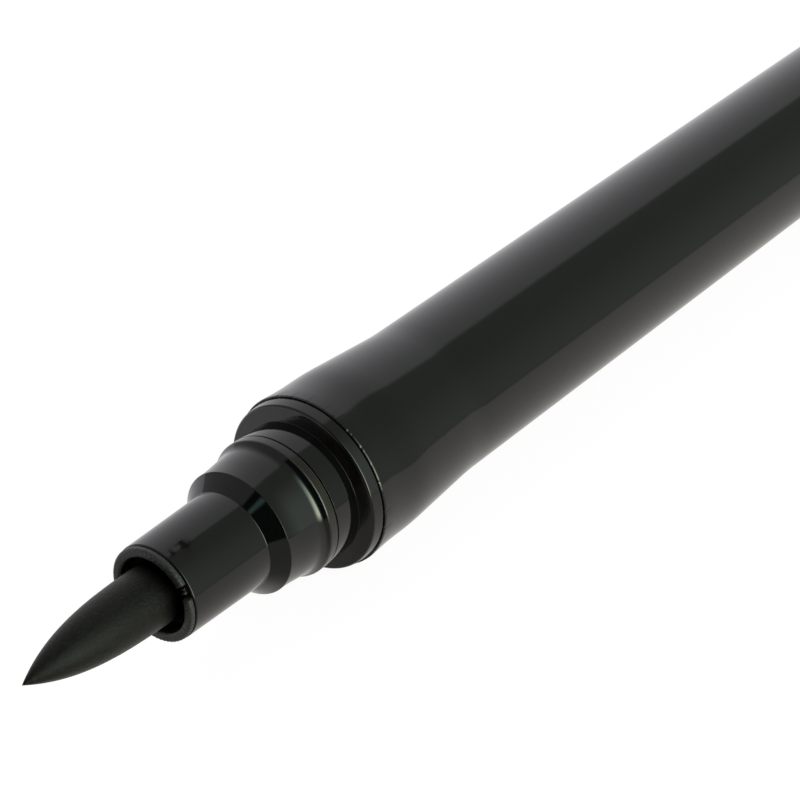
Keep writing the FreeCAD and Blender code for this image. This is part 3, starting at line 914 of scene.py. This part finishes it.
class LINER_OT_tip(bpy.types.Operator):
    """Shape the pointed felt tip"""

    bl_idname = "liner.tip"
    bl_label = "Felt Tip"

    def execute(self, context):
        pen = context.scene.eyeliner_pen
        size = pen.mouth
        low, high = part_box("felt_tip")
        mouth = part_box("nozzle")[0].x
        reach = mouth - low.x
        body_back = reach + size.body_depth
        back = high.x - low.x
        corners = [
            (0, 0),
            (size.taper_length, size.tip_radius),
            (body_back, size.tip_radius),
            (body_back, size.shank_radius),
            (back, size.shank_radius),
            (back, size.socket_radius),
            (back - size.socket_depth, size.socket_radius),
            (back - size.socket_depth, 0),
        ]
        plain = rounded(corners, False, pen.edge_break)
        section = np.concatenate([self.flank(size), plain[plain[:, 0] > size.taper_length]])
        section = section + (low.x, 0.0)
        stations, radii = spread(section, pen.sides)
        angles = turn_angles(pen.sides)
        ripple = beats(angles, FUZZ_WAVES, [run * stations / size.taper_length for run in FUZZ_RUNS])
        bare = np.clip((mouth - stations) / size.lip_proud, 0, 1)
        radii = radii + size.fuzz * ripple * bare * radii / size.tip_radius
        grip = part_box("tip_sleeve")[0].x + size.mouth_depth + size.mouth_slope
        ahead = np.clip((grip - section[:, 0]) / (grip - low.x), 0, 1)
        shift = size.bend * ahead ** size.bend_power
        mesh = turned_mesh("felt_point", stations, radii, angles, False, shift, size.bend_turn)
        # Span in front of the mouth where the felt is painted black as the mouth's shade.
        soaked = (mouth - size.mouth_shade_length, mouth)
        finish = inked_felt("tip_felt", pen.finishes.felt, pen.finishes.felt_light, soaked)
        add_piece("felt_point", mesh, finish, "pen", "felt_tip")
        return {"FINISHED"}

    def flank(self, size):
        """Radius R (1 - (1 - t)^p)^q at the share t of the taper's length behind the point."""
        share = np.linspace(0, 1, FLANK_ROWS) ** FLANK_CROWDING
        radius = size.tip_radius * (1 - (1 - share) ** size.taper_power) ** size.point_power
        return np.stack([share * size.taper_length, radius], axis=1)


class LINER_OT_cap(bpy.types.Operator):
    """Turn the cap and its liner"""

    bl_idname = "liner.cap"
    bl_label = "Cap and Liner"

    def execute(self, context):
        pen = context.scene.eyeliner_pen
        self.add_cap(pen, pen.cap)
        self.add_liner(pen, pen.cap)
        return {"FINISHED"}

    def add_cap(self, pen, size):
        """Turned section: a cup that tapers to its closed end, with a step inside."""
        low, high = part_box("outer_cap")
        back = high.x - low.x
        outside = size.bore + size.wall
        inside = size.bore - size.step
        seat = back - size.seat_depth
        corners = [
            (0, 0),
            (0, outside - size.taper, size.end_round),
            (back - size.land_length, outside, size.land_blend),
            (back, outside, size.edge_round),
            (back, size.bore, size.edge_round),
            (seat, size.bore),
            (seat, inside),
            (size.end_wall, inside),
            (size.end_wall, 0),
        ]
        finish = gloss_black("cap_gloss", pen.finishes.gloss)
        add_turned(pen, "cap_shell", "outer_cap", corners, finish, "cap", closed=False)

    def add_liner(self, pen, size):
        """Turned section: a cup with a flange that fills the cap's bore, and a seal."""
        low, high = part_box("inner_cap")
        back = high.x - low.x
        tube = size.liner_bore + size.liner_wall
        flange = size.bore - pen.barrel.press_gap
        seat = back - size.liner_flange_length
        slope_back = back - size.liner_seal_length
        corners = [
            (0, 0),
            (0, tube, size.liner_end_round),
            (seat, tube),
            (seat, flange),
            (back, flange),
            (back, size.liner_rim),
            (back - size.liner_flare_length, size.liner_seal),
            (slope_back, size.liner_seal),
            (slope_back - size.liner_slope, size.liner_bore),
            (size.liner_end_wall, size.liner_bore),
            (size.liner_end_wall, 0),
        ]
        finish = milky_tube("liner_milky", pen.finishes.milky)
        add_turned(pen, "cap_liner", "inner_cap", corners, finish, "cap", closed=False)


class LINER_OT_inner_works(bpy.types.Operator):
    """Give the wick, collector, tank, stopper and ball their finishes"""

    bl_idname = "liner.inner_works"
    bl_label = "Inner Works"

    def execute(self, context):
        shades = context.scene.eyeliner_pen.finishes
        finishes = {
            "relay_wick": wick_fibre("wick_strands", shades.wick),
            "collector": white_moulding("collector_white", shades.moulding),
            "ink_tank": milky_tube("tank_milky", shades.milky),
            "tank_plug": soft_plug("plug_soft", shades.plug),
            "mixing_ball": bright_steel("ball_steel", shades.steel),
        }
        for node, finish in finishes.items():
            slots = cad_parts[node].data.materials
            slots.clear()
            slots.append(finish)
        return {"FINISHED"}


class LINER_OT_stage(bpy.types.Operator):
    """Set up the white floor, the surroundings, the lamp and the camera"""

    bl_idname = "liner.stage"
    bl_label = "Stage"

    def execute(self, context):
        stage = context.scene.eyeliner_pen.stage
        context.scene.view_settings.view_transform = "Standard"
        self.add_floor(stage)
        context.scene.world = self.surroundings(stage)
        self.add_lamp(stage)
        context.scene.camera = self.add_camera(stage)
        return {"FINISHED"}

    def add_floor(self, stage):
        """A level square, P(u, v) = size (u - 1/2, v - 1/2, 0). The eye sees its white, and light that
        bounces off it takes its plain pale colour. Reflections show the white surroundings instead."""
        half = stage.floor_size / 2
        sides = np.array([(-half, -half, 0), (half, -half, 0), (half, half, 0), (-half, half, 0)])
        mesh = bpy.data.meshes.new("floor")
        mesh.from_pydata(sides.tolist(), [], [(0, 1, 2, 3)])
        tree = new_material("floor_white")
        mirrored = tree.ray("Glossy").greatest(tree.ray("Transmission"))
        white = tree.node("Emission", None, {"Color": grey(1.0), "Strength": stage.floor_glow})
        shaded = tree.matte(grey(0.12))
        bright = tree.node("AddShader", None, {0: shaded, 1: white})
        paper = tree.matte(grey(0.8))
        plain = tree.shared(mirrored, paper, tree.node("BsdfTransparent"))
        mesh.materials.append(tree.finished(tree.shared(tree.ray("Camera"), plain, bright)))
        floor = add_object("floor", mesh)

    def surroundings(self, stage):
        """White all round, with a dim room on the viewer's side and a darker line along the room's foot.
        The turn is the angle about the pen's axis, from the viewer's side upwards."""
        tree = Tree(bpy.data.worlds.new("studio"))
        towards = tree.node("TexCoord", output="Generated")
        along, deep, up = (tree.along(towards, axis) for axis in "XYZ")
        turn = up.math("ARCTAN2", up, 0.0 - deep) * (180 / math.pi)
        white = self.white_light(tree, stage, along, turn)
        room = self.room_light(tree, stage, towards, along, turn)
        shade = tree.mix(turn.rise(*ROOM_FOOT) * turn.rise(*ROOM_TOP), white, room)
        skirting = turn.rise(*SKIRTING_FOOT) * turn.rise(*SKIRTING_TOP) * SKIRTING_SHARE
        light = tree.node("Background", None, {"Color": tree.mix(skirting, shade, grey(0.0))})
        backdrop = tree.node("Background", None, {"Color": grey(1.0)})
        return tree.finished(tree.shared(tree.ray("Camera"), light, backdrop), "OutputWorld")

    def white_light(self, tree, stage, along, turn):
        """White overhead, behind and below. Only a share of it comes from in front of the tip."""
        overhead, behind = (opaque(stage.white, level) for level in (stage.overhead, stage.behind))
        below = opaque(stage.warm_white, stage.below)
        above = tree.mix(turn.rise(*BEHIND_ABOVE), overhead, behind)
        under = tree.mix(turn.rise(*BEHIND_BELOW), below, behind)
        open_above = along.rise(*OPEN_ABOVE)
        open_below = along.rise(*OPEN_BELOW).greatest(turn.rise(*OPEN_BEHIND))
        above, under = (
            tree.mix(opening * (1 - stage.front_share) + stage.front_share, grey(0.0), shade)
            for opening, shade in ((open_above, above), (open_below, under))
        )
        return tree.mix(turn.rise(*HORIZON), under, above)

    def room_light(self, tree, stage, towards, along, turn):
        """A dim room that darkens in front of the tip, a pale window whose light spreads round it, and a
        streaky glint."""
        low = turn.rise(*ROOM_HEIGHT)
        near = along.rise(*WINDOW_FRONT)
        dusk = tree.mix(low, opaque(stage.room, 0.92), opaque(stage.room, 1.35))
        night = grey(0.004)
        dim = tree.mix(along.rise(*ROOM_END), night, dusk)
        spread = near * along.rise(*SPREAD_BACK) * turn.rise(*SPREAD_TOP)
        glow = tree.mix(spread, dim, opaque(stage.window_spread))
        pane = near * (along - low * low * WINDOW_LEAN).rise(*WINDOW_BACK) * low * turn.rise(*WINDOW_SILL)
        glass = tree.mix(low, opaque(stage.window_high), opaque(stage.window_low))
        lit = tree.mix(pane, glow, tree.scaled(glass, stage.window_level))
        streaks = tree.noise(60.0, vector=towards).rise(0.35, 0.6)
        glint = tree.distance(towards, GLINT_HEADING).rise(*GLINT_REACH) * streaks
        return tree.mix(glint, lit, opaque(stage.glint))

    def add_lamp(self, stage):
        data = bpy.data.lights.new("soft_lamp", "AREA")
        data.size = stage.lamp_side
        data.energy = stage.lamp_power
        lamp = add_object("soft_lamp", data)
        lamp.visible_glossy = False
        self.aim(lamp, stage.lamp_at, (0, 0, 0))

    def add_camera(self, stage):
        data = bpy.data.cameras.new("camera")
        data.sensor_fit = "HORIZONTAL"
        data.lens = stage.lens
        data.clip_start = MM
        camera = add_object("camera", data)
        self.aim(camera, stage.camera_at, stage.camera_aim)
        return camera

    def aim(self, made, spot, target):
        """Put an object at a spot and turn it to a target."""
        made.location = spot
        view = Vector(target) - Vector(spot)
        made.rotation_euler = view.to_track_quat("-Z", "Y").to_euler()


OPERATORS = (
    LINER_OT_barrel,
    LINER_OT_nose,
    LINER_OT_sleeve,
    LINER_OT_tip,
    LINER_OT_cap,
    LINER_OT_inner_works,
    LINER_OT_stage,
)


class LINER_PT_pen(bpy.types.Panel):
    """Sidebar panel that lists the pieces of the pen"""

    bl_idname = "LINER_PT_pen"
    bl_label = "Eyeliner Pen"
    bl_space_type = "VIEW_3D"
    bl_region_type = "UI"
    bl_category = "Eyeliner"

    def draw(self, context):
        pen = context.scene.eyeliner_pen
        self.layout.prop(pen, "sides")
        for operator in OPERATORS:
            self.layout.operator(operator.bl_idname)


GROUPS = (BarrelSizes, NoseSizes, MouthSizes, CapSizes, Finishes, StageSettings, PenSettings)
CLASSES = GROUPS + OPERATORS + (LINER_PT_pen,)


def register():
    for each in CLASSES:
        bpy.utils.register_class(each)
    bpy.types.Scene.eyeliner_pen = bpy.props.PointerProperty(type=PenSettings)


def unregister():
    del bpy.types.Scene.eyeliner_pen
    for each in reversed(CLASSES):
        bpy.utils.unregister_class(each)


def main():
    """Dress the pen, set the stage and note the sizes of both models."""
    register()
    bpy.ops.liner.barrel()
    bpy.ops.liner.nose()
    bpy.ops.liner.sleeve()
    bpy.ops.liner.tip()
    bpy.ops.liner.cap()
    bpy.ops.liner.inner_works()
    bpy.ops.liner.stage()


if __name__ == "__main__":
    main()
